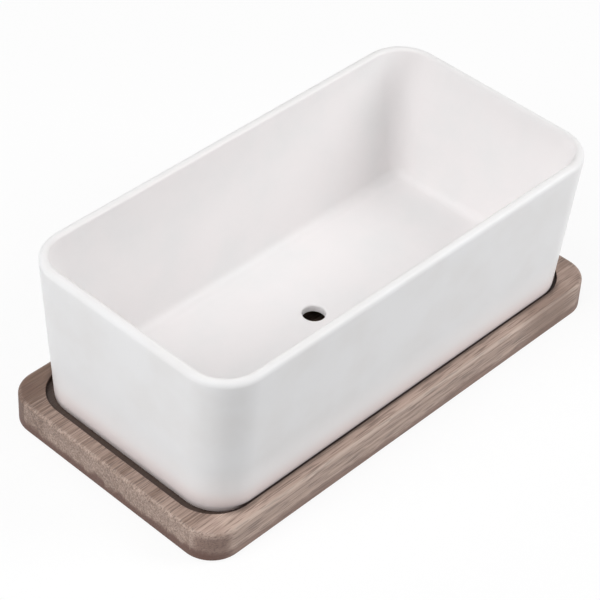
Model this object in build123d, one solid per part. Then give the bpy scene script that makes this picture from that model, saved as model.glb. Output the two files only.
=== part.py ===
from build123d import *
import os

# Indoor herb planter: a glazed ceramic pot standing in the routed pocket of an edge-glued bamboo tray.
# Millimetres. +X runs along the length, +Z is up, and the origin is the middle of the tray's underside.

# Pot
RIM_LENGTH = 266.5          # outside, over the end walls at the rim
RIM_WIDTH = 138.0           # outside, over the long walls at the rim
FOOT_LENGTH = 258.5         # outside, at the bottom of the leaning walls
FOOT_WIDTH = 126.8
POT_HEIGHT = 86.0
POT_CORNER_RADIUS = 23.5    # upright corners, outside
WALL_AT_RIM = 5.0           # the walls thicken from the rim down to the floor
END_WALL_AT_FLOOR = 12.5
SIDE_WALL_AT_FLOOR = 15.5
FLOOR_THICKNESS = 5.0
FLOOR_FILLET = 5.0          # inside, where the walls run into the floor
RIM_ROUND = 2.2             # on both edges of the rim
FOOT_CHAMFER = 1.5          # outer edge of the foot
FOOT_RING_WIDTH = 12.0      # the ring that the pot stands on
FOOT_RING_HEIGHT = 8.0      # how far the floor is held above the pocket
FOOT_RING_DRAFT = 8.0       # degrees, on the inner side of the ring
FOOT_RING_CHAMFER = 2.0     # where the ring runs into the underside of the floor
DRAIN_DIAMETER = 12.0
DRAIN_CHAMFER = 1.0         # on both edges of the drain hole

# Tray
END_LIP_WIDTH = 8.3         # land between the pocket and the tray's outside, at each end
SIDE_LIP_WIDTH = 7.6        # the same along each long side
TRAY_THICKNESS = 18.0
TRAY_CORNER_RADIUS = 16.5
TRAY_TOP_ROUND = 2.0        # rounded upper arris
TRAY_BOTTOM_CHAMFER = 1.0   # broken lower arris
POCKET_DEPTH = 3.0
POCKET_CORNER_RADIUS = 22.0
POCKET_CHAMFER = 0.3        # broken mouth of the pocket
STAVE_COUNT = 10

# How the pot sits in the pocket
END_CLEARANCE = 2.85        # at each end, when the pot stands in the middle
SIDE_CLEARANCE = 1.2        # along each long side
SHIFT_SHARE = 0.66          # how far the pot is pushed towards +X, as a share of the end clearance

# Cutting tools start or end this far outside the piece that they cut
OVERSHOOT = 5.0

floor_top = FOOT_RING_HEIGHT + FLOOR_THICKNESS
pocket_floor = TRAY_THICKNESS - POCKET_DEPTH
pocket_length = FOOT_LENGTH + 2 * END_CLEARANCE
pocket_width = FOOT_WIDTH + 2 * SIDE_CLEARANCE
tray_length = pocket_length + 2 * END_LIP_WIDTH
tray_width = pocket_width + 2 * SIDE_LIP_WIDTH
stave_width = tray_width / STAVE_COUNT
pot_shift = SHIFT_SHARE * END_CLEARANCE


def level(shape, index):
    """The edges of a shape at one of its levels, counted from the lowest (0) to the highest (-1)."""
    return shape.edges().group_by(Axis.Z)[index]


def outside_at(height):
    """Length and width over the pot's outer walls at a height above its foot."""
    share = height / POT_HEIGHT
    length = FOOT_LENGTH + (RIM_LENGTH - FOOT_LENGTH) * share
    width = FOOT_WIDTH + (RIM_WIDTH - FOOT_WIDTH) * share
    return length, width


def leaning_pair(low_size, bottom, high_size):
    """Four-sided section, up to the rim, whose two sides lean like a pair of opposite walls."""
    low = low_size / 2
    high = high_size / 2
    return make_face(Polyline((-low, bottom), (low, bottom), (high, POT_HEIGHT), (-high, POT_HEIGHT), close=True))


def leaning_block(low_length, low_width, bottom, inset):
    """Block up to the rim, set in from its outside there. Ends and sides lean, upright corners are round."""
    end_section = leaning_pair(low_length, bottom, RIM_LENGTH - 2 * inset)
    side_section = leaning_pair(low_width, bottom, RIM_WIDTH - 2 * inset)
    between_ends = extrude(Plane.XZ * end_section, RIM_WIDTH, both=True)
    between_sides = extrude(Plane.YZ * side_section, RIM_LENGTH, both=True)
    block = between_ends & between_sides
    upright_corners = level(block, 1)
    return fillet(upright_corners, POT_CORNER_RADIUS - inset)


def pot_cavity():
    """Space for the soil: it leans more than the outside, so the core pulls out of the casting."""
    length, width = outside_at(floor_top)
    floor_length = length - 2 * END_WALL_AT_FLOOR
    floor_width = width - 2 * SIDE_WALL_AT_FLOOR
    cavity = leaning_block(floor_length, floor_width, floor_top, WALL_AT_RIM)
    return fillet(level(cavity, 0), FLOOR_FILLET)


def foot_recess():
    """Hollow under the floor, inside the foot ring."""
    outline = RectangleRounded(
        FOOT_LENGTH - 2 * FOOT_RING_WIDTH,
        FOOT_WIDTH - 2 * FOOT_RING_WIDTH,
        POT_CORNER_RADIUS - FOOT_RING_WIDTH,
    )
    recess = extrude(outline, FOOT_RING_HEIGHT, taper=FOOT_RING_DRAFT)
    return chamfer(level(recess, -1), FOOT_RING_CHAMFER)


def drain_hole():
    """Round way through the floor, from the foot recess to the cavity, wider at both ends."""
    radius = DRAIN_DIAMETER / 2
    wide = radius + DRAIN_CHAMFER
    half_section = [
        (0, FOOT_RING_HEIGHT),
        (wide, FOOT_RING_HEIGHT),
        (radius, FOOT_RING_HEIGHT + DRAIN_CHAMFER),
        (radius, floor_top - DRAIN_CHAMFER),
        (wide, floor_top),
        (0, floor_top),
    ]
    return revolve(Plane.XZ * make_face(Polyline(*half_section, close=True)), Axis.Z)


def make_pot():
    """Cast trough with a rounded rim, a filleted floor, a drain hole and a foot ring."""
    body = leaning_block(FOOT_LENGTH, FOOT_WIDTH, 0, 0)
    body = chamfer(level(body, 0), FOOT_CHAMFER)
    body = body - pot_cavity() - foot_recess() - drain_hole()
    body = fillet(level(body, -1), RIM_ROUND)
    return Pos(pot_shift, 0, pocket_floor) * body


def make_tray():
    """The whole board after gluing and routing: rounded outline, eased arrises and a flat pocket."""
    board = extrude(RectangleRounded(tray_length, tray_width, TRAY_CORNER_RADIUS), TRAY_THICKNESS)
    board = chamfer(level(board, 0), TRAY_BOTTOM_CHAMFER)
    board = fillet(level(board, -1), TRAY_TOP_ROUND)
    pocket_outline = RectangleRounded(pocket_length, pocket_width, POCKET_CORNER_RADIUS)
    board -= Pos(0, 0, pocket_floor) * extrude(pocket_outline, POCKET_DEPTH + OVERSHOOT)
    lip_face = board.faces().sort_by(Axis.Z)[-1]
    pocket_mouth = lip_face.inner_wires()[0].edges()
    return board.chamfer(POCKET_CHAMFER, None, pocket_mouth)


def make_stave(board, index):
    """One stave of the board, counted from the -Y side."""
    middle = (index + 0.5) * stave_width - tray_width / 2
    slab = Pos(0, middle, TRAY_THICKNESS / 2) * Box(tray_length, stave_width, TRAY_THICKNESS)
    return board & slab


os.makedirs("parts", exist_ok=True)

export_step(make_pot(), "parts/pot.step")

tray = make_tray()
for number in range(STAVE_COUNT):
    export_step(make_stave(tray, number), f"parts/tray_stave_{number + 1:02d}.step")
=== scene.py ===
import math

import bpy
from mathutils import Color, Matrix, Quaternion, Vector, noise


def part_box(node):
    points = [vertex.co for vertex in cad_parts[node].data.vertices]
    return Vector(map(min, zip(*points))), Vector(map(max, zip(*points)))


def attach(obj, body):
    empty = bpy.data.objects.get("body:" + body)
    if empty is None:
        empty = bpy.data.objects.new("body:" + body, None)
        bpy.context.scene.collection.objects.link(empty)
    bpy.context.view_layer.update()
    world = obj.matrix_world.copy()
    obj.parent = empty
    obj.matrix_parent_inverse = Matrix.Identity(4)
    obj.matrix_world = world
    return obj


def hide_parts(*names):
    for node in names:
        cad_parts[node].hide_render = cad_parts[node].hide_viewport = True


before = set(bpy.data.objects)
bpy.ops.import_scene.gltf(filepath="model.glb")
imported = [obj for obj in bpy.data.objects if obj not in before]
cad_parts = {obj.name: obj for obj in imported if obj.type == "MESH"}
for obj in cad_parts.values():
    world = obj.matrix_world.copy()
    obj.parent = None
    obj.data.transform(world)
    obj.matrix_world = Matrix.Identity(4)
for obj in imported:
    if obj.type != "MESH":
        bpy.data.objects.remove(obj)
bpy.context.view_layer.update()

# Indoor herb planter: a white glazed pot in the pocket of a washed bamboo tray.
# Metres. +X runs along the length, +Z is up, and the origin is the middle of the tray's underside.

pot_low, pot_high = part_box("pot")
front_stave_low, front_stave_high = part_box("tray_stave_01")
_, middle_stave_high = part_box("tray_stave_05")
stave_names = sorted(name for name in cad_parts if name.startswith("tray_stave"))

MILLIMETRE = 0.001

# Pot, as the solid has it
FOOT_LENGTH = 258.5 * MILLIMETRE
FOOT_WIDTH = 126.8 * MILLIMETRE
FOOT_RING_WIDTH = 12.0 * MILLIMETRE
FOOT_RING_HEIGHT = 8.0 * MILLIMETRE
FOOT_RING_DRAFT = math.radians(8.0)
FOOT_RING_CHAMFER = 2.0 * MILLIMETRE
RIM_LENGTH = 266.5 * MILLIMETRE
RIM_WIDTH = 138.0 * MILLIMETRE
POT_CORNER_RADIUS = 23.5 * MILLIMETRE     # upright corners, outside
WALL_AT_RIM = 5.0 * MILLIMETRE
END_WALL_AT_FLOOR = 12.5 * MILLIMETRE
SIDE_WALL_AT_FLOOR = 15.5 * MILLIMETRE
FLOOR_THICKNESS = 5.0 * MILLIMETRE
FLOOR_FILLET = 5.0 * MILLIMETRE
DRAIN_RADIUS = 6.0 * MILLIMETRE

# What casting and glazing change on it
FOOT_CHAMFER = 0.5 * MILLIMETRE           # the glaze fills most of the chamfer round the foot
LEFT_FOOT_RADIUS = 21.4 * MILLIMETRE      # the corners at the -X end came out tighter at the foot
FLOOR_CORNER_RADIUS = 9.0 * MILLIMETRE    # the inside corners tighten towards the floor
RIM_OUTER_ROUND = 3.3 * MILLIMETRE        # the glaze softens the outer edge of the rim
RIM_INNER_ROUND = 1.6 * MILLIMETRE        # the inner edge is crisper
DRAIN_ROUND = 1.0 * MILLIMETRE            # both edges of the drain hole, which the solid chamfers
CASTING_WAVER = 0.2 * MILLIMETRE          # how far the cast walls wander inwards
WAVER_LENGTH = 60.0 * MILLIMETRE          # distance between one hollow and the next

pot_height = pot_high.z - pot_low.z
pot_middle = Vector(((pot_low.x + pot_high.x) / 2, (pot_low.y + pot_high.y) / 2, pot_low.z))
floor_top = FOOT_RING_HEIGHT + FLOOR_THICKNESS

# Tray, as the solids have it
TRAY_CORNER_RADIUS = 16.5 * MILLIMETRE
END_LIP_WIDTH = 8.3 * MILLIMETRE
SIDE_LIP_WIDTH = 7.6 * MILLIMETRE
POCKET_CORNER_RADIUS = 22.0 * MILLIMETRE

tray_half_length = middle_stave_high.x
tray_half_width = -front_stave_low.y
tray_top = front_stave_high.z
pocket_half_length = tray_half_length - END_LIP_WIDTH
pocket_half_width = tray_half_width - SIDE_LIP_WIDTH


# Sums, for numbers and for the signals of a shader alike

def between(low, high, share):
    """From the low value to the high one as the share goes from 0 to 1."""
    return low + (high - low) * share


def outside_at(height):
    """Half the length and width over the pot's outer walls at a height above the foot."""
    share = height / pot_height
    return between(FOOT_LENGTH / 2, RIM_LENGTH / 2, share), between(FOOT_WIDTH / 2, RIM_WIDTH / 2, share)


def distance_of(along, across):
    """How far a place lies away that is a step along and a step across."""
    return (along * along + across * across) ** 0.5


# Shader maths

class Signal:
    """An output of a node. Arithmetic on it adds Math nodes to the same tree."""

    def __init__(self, tree, socket):
        self.tree = tree
        self.socket = socket

    def math(self, operation, first, second=0.0):
        return add_node(self.tree, "ShaderNodeMath", {"operation": operation}, {0: first, 1: second})

    def __add__(self, other):
        return self.math("ADD", self, other)

    def __sub__(self, other):
        return self.math("SUBTRACT", self, other)

    def __rsub__(self, other):
        return self.math("SUBTRACT", other, self)

    def __mul__(self, other):
        return self.math("MULTIPLY", self, other)

    def __truediv__(self, other):
        return self.math("DIVIDE", self, other)

    def __pow__(self, other):
        return self.math("POWER", self, other)

    def __abs__(self):
        return self.math("ABSOLUTE", self)

    def at_least(self, other):
        return self.math("MAXIMUM", self, other)

    def at_most(self, other):
        return self.math("MINIMUM", self, other)

    __radd__ = __add__
    __rmul__ = __mul__


def add_node(tree, kind, settings, inputs, output=0):
    """Adds a node, sets its settings, then the values or links of its sockets, and gives one output."""
    node = tree.nodes.new(kind)
    for name, value in settings.items():
        setattr(node, name, value)
    for name, value in inputs.items():
        if isinstance(value, Signal):
            tree.links.new(value.socket, node.inputs[name])
        else:
            node.inputs[name].default_value = value
    return Signal(tree, node.outputs[output])


def colour(red, green, blue):
    """Screen values of 0 to 255 as the linear colour that a shader takes."""
    screen = Color((red / 255, green / 255, blue / 255))
    return (*screen.from_srgb_to_scene_linear(), 1.0)


def mix(factor, first, second):
    """Colour that goes from the first to the second as the factor goes from 0 to 1.

    Inputs 6 and 7 and output 2 are those that a Mix node has for colours.
    """
    settings = {"data_type": "RGBA", "blend_type": "MIX"}
    return add_node(factor.tree, "ShaderNodeMix", settings, {0: factor, 6: first, 7: second}, 2)


def step_up(signal, low, high):
    """Smooth step from 0 at the low value to 1 at the high one."""
    inputs = {"Value": signal, "From Min": low, "From Max": high}
    return add_node(signal.tree, "ShaderNodeMapRange", {"interpolation_type": "SMOOTHSTEP"}, inputs)


def stretched_noise(place, lengths, shift, detail=2.0, roughness=0.5):
    """Noise whose grains have the given lengths along X, Y and Z, moved by a shift."""
    scale = tuple(1 / length for length in lengths)
    inputs = {0: place, 1: scale, 2: shift}
    moved = add_node(place.tree, "ShaderNodeVectorMath", {"operation": "MULTIPLY_ADD"}, inputs)
    inputs = {"Vector": moved, "Scale": 1.0, "Detail": detail, "Roughness": roughness}
    return add_node(place.tree, "ShaderNodeTexNoise", {}, inputs, "Fac")


def outside_of(x, y, half_length, half_width, radius):
    """How far a place lies outside a rounded outline. It is less than 0 inside."""
    along = (abs(x) - (half_length - radius)).at_least(0)
    across = (abs(y) - (half_width - radius)).at_least(0)
    return distance_of(along, across) - radius


def new_material(name):
    """An empty material with a surface shader: gives the material, its tree and the shader."""
    material = bpy.data.materials.new(name)
    material.use_nodes = True
    return material, material.node_tree, material.node_tree.nodes["Principled BSDF"]


def connect(signal, shader, socket):
    """Links a signal to one of a shader's sockets."""
    signal.tree.links.new(signal.socket, shader.inputs[socket])


def bump(height, distance):
    """Surface normal of a fine relief, given as a share of a distance."""
    return add_node(height.tree, "ShaderNodeBump", {}, {"Height": height, "Distance": distance})


def object_place(tree):
    """Place on the object, in the frame, and its three parts."""
    place = add_node(tree, "ShaderNodeTexCoord", {}, {}, "Object")
    parts = [add_node(tree, "ShaderNodeSeparateXYZ", {}, {0: place}, axis) for axis in "XYZ"]
    return place, *parts


# How many layers of detail the noises have, and the value round which they vary
SMOOTH = 1.0
DETAILED = 3.0
RAGGED = 4.0
NOISE_MIDDLE = 0.5


# Glaze

# The inside is a touch pinker and the outside a touch bluer: painted tints of the light on each.
GLAZE_INSIDE = colour(241, 238, 238)
GLAZE_OUTSIDE = colour(241, 241, 242)
GLAZE_POOLED = colour(237, 236, 236)
GLAZE_THIN_AND_SHADE = colour(235, 233, 232)
# The next two are painted light near the foot: whiter, and faintly pink as light bounced up from the wood.
GLAZE_FOOT_LIFT = colour(253, 251, 251)
GLAZE_PINK_BOUNCE = colour(255, 245, 244)       # faintly pink: painted light bounced up from the wood
BISQUE = colour(221, 209, 193)
# painted shade on the foot, in the narrow gap to the wood of the pocket
GLAZE_GAP_SHADE = colour(70, 38, 26)
MOTTLE_SIZE = 30 * MILLIMETRE
POOL_START = 0.35                         # share of the mottle at which the glaze begins to pool
POOL_FULL = 0.75
PEEL_SIZE = 6 * MILLIMETRE
PEEL_SHIFT = (3, 1, 2)                    # keeps the peel apart from the mottle
PEEL_DEPTH = 0.06 * MILLIMETRE
THIN_AND_SHADE_HEIGHT = 1.2 * MILLIMETRE            # the glaze is thin on the top of the rim, which is also darkened there as painted shade
THIN_AND_SHADE_STRENGTH = 0.5
FOOT_LIFT_HEIGHT = 30 * MILLIMETRE              # painted light: the outside is whiter up to this height above the foot
PINK_BOUNCE_HEIGHT = 15 * MILLIMETRE
WIPED_HEIGHT = 0.4 * MILLIMETRE           # the foot is wiped bare before firing
GAP_SHADE_REACH = 3.0 * MILLIMETRE             # painted shade on the foot where wood is nearer than this
GAP_SHADE_FADE = 0.5 * MILLIMETRE
GAP_SHADE_STRENGTH = 0.9
GLAZE_ROUGHNESS = 0.28
MOTTLE_ROUGHNESS = 0.08                   # what the mottle and the bare foot add to it
WIPED_ROUGHNESS = 0.5
GLAZE_GLOSS = 0.18                        # strength of its reflections, of 0 to 1


def outer_wall(x, y, z):
    """1 on the pot's outer walls, which lean, and 0 on its inside."""
    half_length, half_width = outside_at(z - pot_low.z)
    outside = outside_of(x - pot_middle.x, y, half_length, half_width, POT_CORNER_RADIUS)
    return step_up(outside, -WALL_AT_RIM, -WALL_AT_RIM / 2)


def near_foot(z, height):
    """1 at the pot's foot, which fades out from a quarter of a height above it to the whole."""
    return 1 - step_up(z, pot_low.z + height / 4, pot_low.z + height)


def painted_gap_shade(x, y, z):
    """1 where the foot stands close to the wood of the pocket, for painted shade in the narrow gap between
    them.
    """
    from_wood = outside_of(x, y, pocket_half_length, pocket_half_width, POCKET_CORNER_RADIUS)
    close = step_up(from_wood, -GAP_SHADE_REACH, -GAP_SHADE_REACH / 2)
    return close * (1 - step_up(z, tray_top - GAP_SHADE_FADE, tray_top))


def glaze_material():
    """White glaze with painted light and shade: whiter and faintly pink near the foot, darker where the foot
    nears the wood. The foot is bare.
    """
    material, tree, shader = new_material("white_glaze")
    place, x, y, z = object_place(tree)
    mottle = stretched_noise(place, [MOTTLE_SIZE] * 3, (0, 0, 0), DETAILED)
    outside = outer_wall(x, y, z)
    # pinker inside and bluer outside, as painted tints of the light
    white = mix(outside, GLAZE_INSIDE, GLAZE_OUTSIDE)
    white = mix(step_up(mottle, POOL_START, POOL_FULL), white, GLAZE_POOLED)
    # darker top of the rim: thin glaze, and painted shade that tones down its light
    thin_and_shade = step_up(z, pot_high.z - THIN_AND_SHADE_HEIGHT, pot_high.z)
    glazed = mix(thin_and_shade * THIN_AND_SHADE_STRENGTH, white, GLAZE_THIN_AND_SHADE)
    # painted light: the outside is whiter near the foot
    glazed = mix(outside * near_foot(z, FOOT_LIFT_HEIGHT), glazed, GLAZE_FOOT_LIFT)
    # painted light: a faint pink near the foot, as light bounced up from the wood
    glazed = mix(outside * near_foot(z, PINK_BOUNCE_HEIGHT), glazed, GLAZE_PINK_BOUNCE)
    wiped = 1 - step_up(z, pot_low.z + WIPED_HEIGHT / 2, pot_low.z + WIPED_HEIGHT)
    # painted shade on the foot in the gap to the pocket's wood
    glazed = mix(painted_gap_shade(x, y, z) * GAP_SHADE_STRENGTH, glazed, GLAZE_GAP_SHADE)
    connect(mix(wiped, glazed, BISQUE), shader, "Base Color")
    roughness = GLAZE_ROUGHNESS + mottle * MOTTLE_ROUGHNESS + wiped * WIPED_ROUGHNESS
    connect(roughness, shader, "Roughness")
    peel = stretched_noise(place, [PEEL_SIZE] * 3, PEEL_SHIFT, SMOOTH)
    connect(bump(peel, PEEL_DEPTH), shader, "Normal")
    shader.inputs["Specular IOR Level"].default_value = GLAZE_GLOSS
    return material


# Bamboo

BAMBOO_PALE = colour(195, 172, 159)
BAMBOO_DARK = colour(115, 92, 79)
BAMBOO_LINE = colour(74, 57, 48)          # fine dark lines along the fibres
BAMBOO_BARE_AND_LIT = colour(212, 195, 182)       # where the wash is rubbed off, and painted highlight along the arris
BAMBOO_FOOT_AND_CORNER_SHADE = colour(100, 70, 60)         # darker and redder, at the foot of the sides, and painted shade on the corners of the tray
BAMBOO_POCKET_SHADE = colour(58, 44, 37)         # painted shade, in and next to the pocket

# How pale each stave is, from the front: 0 is the dark wood and 1 the pale one. Streaks and grain add to it,
# so that below 0 only the palest of them show.
# The front stave is set paler than the rest as painted light, which lifts the pot's shade off the front lip.
STAVE_TONES = (0.78, 0.42, 0.38, 0.40, 0.34, 0.37, 0.32, 0.36, 0.20, -0.15)
STAVE_SHIFT = (3.7, 11.3, 5.9)            # from one stave to the next, so that no two have the same grain

STREAK_SIZE = (260 * MILLIMETRE, 6 * MILLIMETRE, 6 * MILLIMETRE)
STREAK_CONTRAST = 0.6
GRAIN_SIZE = (80 * MILLIMETRE, 1.1 * MILLIMETRE, 1.1 * MILLIMETRE)
GRAIN_HARSHNESS = 0.6                     # how much the finer layers of its noise count
GRAIN_CONTRAST = 1.4
GRAIN_DEPTH = 0.12 * MILLIMETRE
LINE_SIZE = (14 * MILLIMETRE, 0.7 * MILLIMETRE, 0.7 * MILLIMETRE)
LINE_START = 0.5                          # a line shows from this value of its noise
LINE_FULL = 0.64                          # and is darkest from this one
LINE_STRENGTH = 0.5
LINE_RELIEF = 0.5                         # how deep the lines lie, against the grain
END_GRAIN_LIFT = 0.22                     # the sawn ends are paler than the top
END_GRAIN_BOOST = 0.4                     # and more speckled
WOOD_ROUGHNESS = 0.6
RELIEF_ROUGHNESS = 0.25                   # what the relief adds to it

ARRIS_BAND_WIDTH = 2.6 * MILLIMETRE             # how far the rubbed and highlit arris reaches in from the side
ARRIS_BAND_DROP = 2.0 * MILLIMETRE              # and down from the top
ARRIS_SIDE_SHARE = 0.3                           # how bare and highlit it is along the sides
ARRIS_END_SHARE = 0.15                           # and in the ticks at the ends
TICK_SIZE = (40 * MILLIMETRE, 0.7 * MILLIMETRE, 0.7 * MILLIMETRE)
TICK_START = 0.48                         # a tick shows from this value of its noise
TICK_FULL = 0.62                          # and is palest from this one

BAND_TOP = 5.5 * MILLIMETRE               # the foot of the sides is darker and redder
BAND_BLUR = 2.0 * MILLIMETRE
BAND_WANDER = 12.0 * MILLIMETRE           # how far its upper edge goes up and down
BAND_AT_SIDES = 0.56                      # how strong it is along the sides
BAND_AT_ENDS = 0.94                       # and at the ends
PATCH_SIZE = (24 * MILLIMETRE, 14 * MILLIMETRE, 14 * MILLIMETRE)
PATCH_HARSHNESS = 0.65

CORNER_SHADE_START = 1.0 * MILLIMETRE     # how far into a corner its painted shade begins
CORNER_SHADE_FULL = 7.0 * MILLIMETRE      # and is full
CORNER_SHADE_TOP = 0.22                   # how strong it is on the top
CORNER_SHADE_SIDE = 0.6                   # and on the sides

LIP_PATCH_FROM_END = 36.0 * MILLIMETRE         # the middle of a darker patch at the front of the +X end
LIP_PATCH_FROM_FRONT = 4.0 * MILLIMETRE
LIP_PATCH_CORE = 8.0 * MILLIMETRE
LIP_PATCH_REACH = 30.0 * MILLIMETRE
LIP_PATCH_STRENGTH = 0.55

POCKET_SHADE_BLUR = 0.2 * MILLIMETRE            # edge of the darkened wood at the mouth of the pocket
POCKET_DARKENING = 0.42                       # how much darker the pocket is, of 0 to 1
GAP_RING_WIDTH = 14.0 * MILLIMETRE            # darkest ring of the pocket: painted shade in the gap round the pot's foot
GAP_RING_SHADE = 0.92                         # how strong the painted shade in that ring is
LIP_SHADE_WIDTH = 3.2 * MILLIMETRE             # painted shade on the margin of the long lips, next to the pocket, under the pot's leaning walls
LIP_SHADE = 0.7                          # how strong that painted shade is


def bamboo_wood(place, x, shift, tone):
    """Colour of the washed wood, with streaks, grain and fine lines, and the relief of its grain."""
    streaks = stretched_noise(place, STREAK_SIZE, shift) - NOISE_MIDDLE
    end_grain = step_up(abs(x), tray_half_length - ARRIS_BAND_DROP, tray_half_length)
    grain = stretched_noise(place, GRAIN_SIZE, shift, DETAILED, GRAIN_HARSHNESS) - NOISE_MIDDLE
    grain *= end_grain * END_GRAIN_BOOST + 1
    lines = step_up(stretched_noise(place, LINE_SIZE, shift, SMOOTH), LINE_START, LINE_FULL)
    pale_share = tone + streaks * STREAK_CONTRAST + grain * GRAIN_CONTRAST + end_grain * END_GRAIN_LIFT
    plain = mix(pale_share.at_least(0).at_most(1), BAMBOO_DARK, BAMBOO_PALE)
    return mix(lines * LINE_STRENGTH, plain, BAMBOO_LINE), grain - lines * LINE_RELIEF


def worn_and_lit_arris(wood, place, x, y, z, shift):
    """The wash is rubbed off the upper arris, which also gets a painted highlight: along it at the sides, and
    in ticks at the ends.
    """
    from_side = outside_of(x, y, tray_half_length, tray_half_width, TRAY_CORNER_RADIUS)
    arris_band = step_up(from_side, -ARRIS_BAND_WIDTH, -ARRIS_BAND_WIDTH / 3)
    arris_band *= step_up(z, tray_top - ARRIS_BAND_DROP, tray_top - ARRIS_BAND_DROP / 3)
    ticks = step_up(stretched_noise(place, TICK_SIZE, shift, SMOOTH), TICK_START, TICK_FULL)
    at_side = step_up(abs(y), tray_half_width - ARRIS_BAND_WIDTH, tray_half_width)
    # bare wood and painted highlight on the arris
    return mix(arris_band * (ticks * ARRIS_END_SHARE).at_least(at_side * ARRIS_SIDE_SHARE), wood, BAMBOO_BARE_AND_LIT)


def dark_foot(wood, place, x, z, shift):
    """The foot of the sides is darker and redder, most of all at the ends, with a wandering edge."""
    patches = stretched_noise(place, PATCH_SIZE, shift, RAGGED, PATCH_HARSHNESS) - NOISE_MIDDLE
    band = 1 - step_up(z + patches * BAND_WANDER, BAND_TOP - BAND_BLUR, BAND_TOP + BAND_BLUR)
    at_end = step_up(abs(x), tray_half_length - TRAY_CORNER_RADIUS, tray_half_length)
    return mix(band * between(BAND_AT_SIDES, BAND_AT_ENDS, at_end), wood, BAMBOO_FOOT_AND_CORNER_SHADE)


def painted_corner_shade(wood, x, y, z):
    """Painted shade on the round corners of the tray, most of all on their sides."""
    along = abs(x) - (tray_half_length - TRAY_CORNER_RADIUS)
    across = abs(y) - (tray_half_width - TRAY_CORNER_RADIUS)
    corner = step_up(along.at_most(across), CORNER_SHADE_START, CORNER_SHADE_FULL)
    side = 1 - step_up(z, tray_top - 2 * ARRIS_BAND_DROP, tray_top - ARRIS_BAND_DROP)
    return mix(corner * between(CORNER_SHADE_TOP, CORNER_SHADE_SIDE, side), wood, BAMBOO_FOOT_AND_CORNER_SHADE)


def painted_pocket_shade(wood, x, y):
    """Painted shade in the pocket's ring round the pot's foot and on the margins of the long lips; the rest
    of the pocket is darker too.
    """
    outside = outside_of(x, y, pocket_half_length, pocket_half_width, POCKET_CORNER_RADIUS)
    margin = 1 - step_up(outside, 0.0, LIP_SHADE_WIDTH)
    margin *= step_up(abs(y), pocket_half_width - LIP_SHADE_WIDTH, pocket_half_width)
    inside = 1 - step_up(outside, 0.0, POCKET_SHADE_BLUR)
    gap_ring = step_up(outside, -GAP_RING_WIDTH, -GAP_RING_WIDTH / 2)
    pocket_dark = inside * between(POCKET_DARKENING, GAP_RING_SHADE, gap_ring)
    # painted shade in and beside the pocket
    return mix((margin * LIP_SHADE).at_least(pocket_dark), wood, BAMBOO_POCKET_SHADE)


def darker_lip_patch(wood, x, y):
    """One soft, darker patch on the front lip near the +X end."""
    along = x - (tray_half_length - LIP_PATCH_FROM_END)
    across = y + (tray_half_width - LIP_PATCH_FROM_FRONT)
    dark_patch = 1 - step_up(distance_of(along, across), LIP_PATCH_CORE, LIP_PATCH_REACH)
    return mix(dark_patch * LIP_PATCH_STRENGTH, wood, BAMBOO_DARK)


def bamboo_material(number, tone):
    """Washed bamboo of one stave: its number gives the grain, and the tone how pale it is."""
    material, tree, shader = new_material(f"washed_bamboo_{number:02d}")
    place, x, y, z = object_place(tree)
    shift = tuple(number * part for part in STAVE_SHIFT)
    wood, relief = bamboo_wood(place, x, shift, tone)
    wood = worn_and_lit_arris(wood, place, x, y, z, shift)
    wood = dark_foot(wood, place, x, z, shift)
    wood = painted_corner_shade(wood, x, y, z)
    wood = darker_lip_patch(wood, x, y)
    wood = painted_pocket_shade(wood, x, y)
    connect(wood, shader, "Base Color")
    connect(relief * RELIEF_ROUGHNESS + WOOD_ROUGHNESS, shader, "Roughness")
    connect(bump(relief, GRAIN_DEPTH), shader, "Normal")
    return material


# Pot

CORNER_STEPS = 24
LONG_SIDE_STEPS = 60
SHORT_SIDE_STEPS = 28
ROUND_STEPS = 8
WALL_STEPS = 24
FLOOR_STEPS = 8


def rounded_rectangle(half_length, half_width, right_radius, left_radius):
    """Points round an outline, anticlockwise, as many for every size. Corners at +X and -X may differ."""
    signs = [(1, 1), (-1, 1), (-1, -1), (1, -1)]
    radii = [right_radius, left_radius, left_radius, right_radius]
    side_steps = [LONG_SIDE_STEPS, SHORT_SIDE_STEPS, LONG_SIDE_STEPS, SHORT_SIDE_STEPS]
    arcs = []
    for quarter, radius in enumerate(radii):
        sign_x, sign_y = signs[quarter]
        corner = Vector(((half_length - radius) * sign_x, (half_width - radius) * sign_y))
        angles = [math.pi / 2 * (quarter + step / CORNER_STEPS) for step in range(CORNER_STEPS + 1)]
        arcs.append([corner + Vector((math.cos(angle), math.sin(angle))) * radius for angle in angles])
    points = []
    for quarter, arc in enumerate(arcs):
        next_arc = arcs[(quarter + 1) % len(arcs)]
        points += arc
        for step in range(1, side_steps[quarter]):
            points.append(arc[-1].lerp(next_arc[0], step / side_steps[quarter]))
    return points


def outer_outline(height, inset):
    """Outline of the pot's outside at a height above the foot, set in by a distance."""
    half_length, half_width = outside_at(height)
    left_radius = between(LEFT_FOOT_RADIUS, POT_CORNER_RADIUS, height / pot_height)
    radii = (POT_CORNER_RADIUS - inset, left_radius - inset)
    return rounded_rectangle(half_length - inset, half_width - inset, *radii)


def inner_outline(height, inset):
    """Outline of the pot's inside at a height above the foot, set in by a distance."""
    share = (height - floor_top) / (pot_height - floor_top)
    floor_half_length, floor_half_width = outside_at(floor_top)
    half_length = between(floor_half_length - END_WALL_AT_FLOOR, RIM_LENGTH / 2 - WALL_AT_RIM, share)
    half_width = between(floor_half_width - SIDE_WALL_AT_FLOOR, RIM_WIDTH / 2 - WALL_AT_RIM, share)
    radius = between(FLOOR_CORNER_RADIUS, POT_CORNER_RADIUS - WALL_AT_RIM, share)
    return rounded_rectangle(half_length - inset, half_width - inset, radius - inset, radius - inset)


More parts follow.
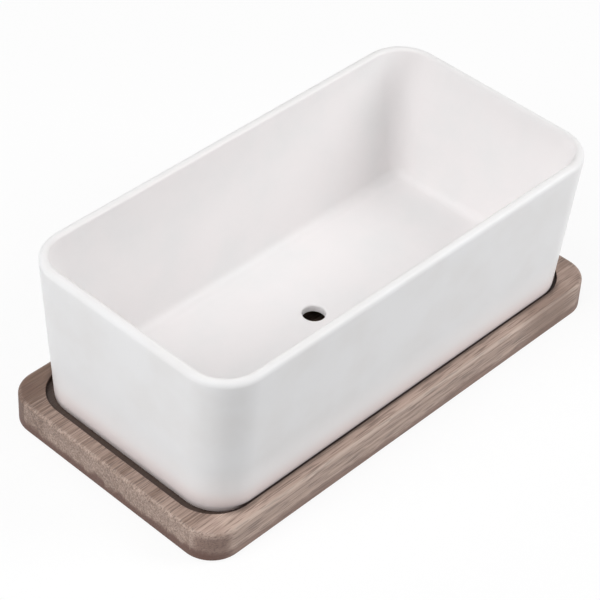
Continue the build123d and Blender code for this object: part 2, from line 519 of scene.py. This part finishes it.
def foot_outline(inset):
    """Outline under the pot, set in from the outside of its foot."""
    return outer_outline(0, inset)


def drain_outline(radius):
    """Circle whose points lie in line with those of the pot's outlines."""
    return [point.normalized() * radius for point in foot_outline(FOOT_RING_WIDTH)]


def quarter_round(radius):
    """Pairs of a set-in and a drop, from the side of a rounded edge to its top."""
    pairs = []
    for step in range(ROUND_STEPS + 1):
        angle = math.pi / 2 * step / ROUND_STEPS
        pairs.append((radius * (1 - math.cos(angle)), radius * (1 - math.sin(angle))))
    return pairs


def outer_rings():
    """Rings up the outside, from the foot over the outer edge of the rim."""
    rings = [(foot_outline(FOOT_CHAMFER), 0)]
    for step in range(WALL_STEPS + 1):
        height = between(FOOT_CHAMFER, pot_height - RIM_OUTER_ROUND, step / WALL_STEPS)
        rings.append((outer_outline(height, 0), height))
    for inset, drop in quarter_round(RIM_OUTER_ROUND)[1:]:
        rings.append((outer_outline(pot_height - drop, inset), pot_height - drop))
    return rings


def inner_rings():
    """Rings down the inside, from the inner edge of the rim to the edge of the floor."""
    rings = []
    for inset, drop in reversed(quarter_round(RIM_INNER_ROUND)):
        rings.append((inner_outline(pot_height - drop, -inset), pot_height - drop))
    for step in range(1, WALL_STEPS):
        height = between(pot_height - RIM_INNER_ROUND, floor_top + FLOOR_FILLET, step / WALL_STEPS)
        rings.append((inner_outline(height, 0), height))
    for inset, rise in quarter_round(FLOOR_FILLET):
        rings.append((inner_outline(floor_top + rise, inset), floor_top + rise))
    return rings


def flat_rings(start, end, height):
    """Rings over a flat face between two outlines, without the outlines themselves."""
    rings = []
    for step in range(1, FLOOR_STEPS):
        share = step / FLOOR_STEPS
        rings.append(([a.lerp(b, share) for a, b in zip(start, end)], height))
    return rings


def drain_rings():
    """Rings down through the drain hole, round at both edges."""
    rings = []
    for inset, drop in reversed(quarter_round(DRAIN_ROUND)):
        rings.append((drain_outline(DRAIN_RADIUS + inset), floor_top - drop))
    for inset, drop in quarter_round(DRAIN_ROUND):
        rings.append((drain_outline(DRAIN_RADIUS + inset), FOOT_RING_HEIGHT + drop))
    return rings


def foot_ring_rings():
    """Rings down the inner side of the foot ring."""
    chamfer_bottom = FOOT_RING_HEIGHT - FOOT_RING_CHAMFER
    lean = math.tan(FOOT_RING_DRAFT)
    ceiling_edge = foot_outline(FOOT_RING_WIDTH + FOOT_RING_HEIGHT * lean + FOOT_RING_CHAMFER)
    return [
        (ceiling_edge, FOOT_RING_HEIGHT),
        (foot_outline(FOOT_RING_WIDTH + chamfer_bottom * lean), chamfer_bottom),
        (foot_outline(FOOT_RING_WIDTH), 0),
    ]


def pot_rings():
    """The pot's surface as closed rings of points, each with its height above the foot."""
    inside = inner_rings()
    drain = drain_rings()
    foot_ring = foot_ring_rings()
    floor = flat_rings(inside[-1][0], drain[0][0], floor_top)
    ceiling = flat_rings(drain[-1][0], foot_ring[0][0], FOOT_RING_HEIGHT)
    return outer_rings() + inside + floor + drain + ceiling + foot_ring


def waver(point):
    """How far a cast wall wanders inwards at a place, from 0 to the most."""
    share = (noise.noise(point / WAVER_LENGTH) + 1) / 2
    return CASTING_WAVER * share


def make_pot():
    """The glazed pot: its rings joined into one closed skin."""
    rings = pot_rings()
    count = len(rings[0][0])
    vertices = []
    for outline, height in rings:
        for point in outline:
            place = Vector((point.x, point.y, height))
            if height > floor_top:
                place.xy -= point.normalized() * waver(place)
            vertices.append(place + pot_middle)
    faces = []
    for ring in range(len(rings)):
        this = ring * count
        following = (ring + 1) % len(rings) * count
        for index in range(count):
            beside = (index + 1) % count
            faces.append((this + index, this + beside, following + beside, following + index))
    mesh = bpy.data.meshes.new("glazed_pot")
    mesh.from_pydata(vertices, [], faces)
    mesh.shade_smooth()
    mesh.materials.append(glaze_material())
    pot = bpy.data.objects.new("glazed_pot", mesh)
    bpy.context.scene.collection.objects.link(pot)
    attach(pot, "pot")
    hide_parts("pot")


def dress_tray():
    """Each stave of the tray gets bamboo of its own tone."""
    for number, name in enumerate(stave_names):
        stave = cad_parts[name]
        stave.data.materials.clear()
        stave.data.materials.append(bamboo_material(number + 1, STAVE_TONES[number]))


# Studio

FLOOR_SIZE = 12.0
FLOOR_DROP = 0.1 * MILLIMETRE             # keeps the floor just under the tray
FLOOR_GREY = colour(214, 214, 214)        # as light that bounces up finds it
FLOOR_WHITE = colour(249, 249, 249)       # as it is seen
WHITE = (1.0, 1.0, 1.0, 1.0)
SEEN_WHITE_SHARE = 0.88                   # how much of the floor's look is plain white, the rest takes shadow
AMBIENT_STRENGTH = 0.2
SOFTBOX_DISTANCE = 1.3


def seen_directly(tree):
    """1 for what the camera sees, also by reflection or through glass, and 0 for light on its way."""
    kinds = ("Is Camera Ray", "Is Glossy Ray", "Is Transmission Ray")
    camera, glossy, through = [add_node(tree, "ShaderNodeLightPath", {}, {}, kind) for kind in kinds]
    return camera.at_least(glossy).at_least(through)


def make_floor():
    """Pale floor, which looks nearly white and keeps a soft shadow."""
    half = FLOOR_SIZE / 2
    level = -FLOOR_DROP
    corners = [(-half, -half, level), (half, -half, level), (half, half, level), (-half, half, level)]
    mesh = bpy.data.meshes.new("studio_floor")
    mesh.from_pydata(corners, [], [(0, 1, 2, 3)])
    material, tree, shader = new_material("studio_floor")
    seen = seen_directly(tree)
    connect(mix(seen, FLOOR_GREY, FLOOR_WHITE), shader, "Base Color")
    shader.inputs["Roughness"].default_value = 1.0
    shader.inputs["Specular IOR Level"].default_value = 0.0
    glow = add_node(tree, "ShaderNodeEmission", {}, {"Color": WHITE, "Strength": 1.0})
    matt = Signal(tree, shader.outputs[0])
    mixed = add_node(tree, "ShaderNodeMixShader", {}, {0: seen * SEEN_WHITE_SHARE, 1: matt, 2: glow})
    connect(mixed, tree.nodes["Material Output"], "Surface")
    mesh.materials.append(material)
    floor = bpy.data.objects.new("studio_floor", mesh)
    bpy.context.scene.collection.objects.link(floor)


def make_world():
    """Even studio surroundings: white where they are seen, softer as light."""
    world = bpy.data.worlds.new("studio")
    world.use_nodes = True
    tree = world.node_tree
    background = tree.nodes["Background"]
    background.inputs["Color"].default_value = WHITE
    background.inputs["Strength"].default_value = AMBIENT_STRENGTH
    ambient = Signal(tree, background.outputs[0])
    seen = add_node(tree, "ShaderNodeBackground", {}, {"Color": WHITE, "Strength": 1.0})
    mixed = add_node(tree, "ShaderNodeMixShader", {}, {0: seen_directly(tree), 1: ambient, 2: seen})
    connect(mixed, tree.nodes["World Output"], "Surface")
    bpy.context.scene.world = world


def make_softbox(name, azimuth, elevation, width, height, power):
    """Lamp on an arc round the pot, which it faces. Azimuth 0 lies along +X and 90 along +Y.

    Angles are in degrees, sizes in metres and the power in watts.
    """
    lamp = bpy.data.lights.new(name, "AREA")
    lamp.shape = "RECTANGLE"
    lamp.size = width
    lamp.size_y = height
    lamp.energy = power
    softbox = bpy.data.objects.new(name, lamp)
    turn = math.radians(azimuth)
    rise = math.radians(elevation)
    away = Vector((math.cos(turn) * math.cos(rise), math.sin(turn) * math.cos(rise), math.sin(rise)))
    softbox.location = Vector((0, 0, pot_high.z / 2)) + away * SOFTBOX_DISTANCE
    softbox.rotation_mode = "QUATERNION"
    softbox.rotation_quaternion = away.to_track_quat("Z", "Y")
    bpy.context.scene.collection.objects.link(softbox)


def make_lights():
    """A large softbox at the left with a low one under it, one at the front right and a weak one behind."""
    make_softbox("softbox_left", azimuth=174, elevation=53, width=0.8, height=1.2, power=10.3)
    make_softbox("softbox_low_left", azimuth=180, elevation=20, width=0.6, height=0.6, power=2.0)
    make_softbox("softbox_right", azimuth=315, elevation=33, width=0.6, height=0.9, power=10.0)
    make_softbox("softbox_back", azimuth=100, elevation=30, width=0.6, height=0.6, power=2.0)


# Camera, fitted to the outlines in the photograph

PICTURE_WIDTH = 600                       # pixels
FOCAL_LENGTH = 2290.64                    # pixels
CAMERA_AZIMUTH = -48.28                   # degrees, round from -Y
CAMERA_ELEVATION = 40.75
CAMERA_ROLL = 3.48
CAMERA_AIM = Vector((9.09, 16.33, 21.81)) * MILLIMETRE
CAMERA_DISTANCE = 1167.89 * MILLIMETRE


def make_camera():
    """Camera that looks at its aim from a distance, at the angles above."""
    data = bpy.data.cameras.new("camera")
    data.lens = FOCAL_LENGTH * data.sensor_width / PICTURE_WIDTH
    azimuth = math.radians(CAMERA_AZIMUTH)
    elevation = math.radians(CAMERA_ELEVATION)
    back = Vector((
        math.sin(azimuth) * math.cos(elevation),
        -math.cos(azimuth) * math.cos(elevation),
        math.sin(elevation),
    ))
    camera = bpy.data.objects.new("camera", data)
    camera.location = CAMERA_AIM + back * CAMERA_DISTANCE
    camera.rotation_mode = "QUATERNION"
    upright = back.to_track_quat("Z", "Y")
    camera.rotation_quaternion = upright @ Quaternion((0, 0, 1), math.radians(CAMERA_ROLL))
    bpy.context.scene.collection.objects.link(camera)
    bpy.context.scene.camera = camera


make_pot()
dress_tray()
make_floor()
make_world()
make_lights()
make_camera()
bpy.context.scene.view_settings.view_transform = "Standard"
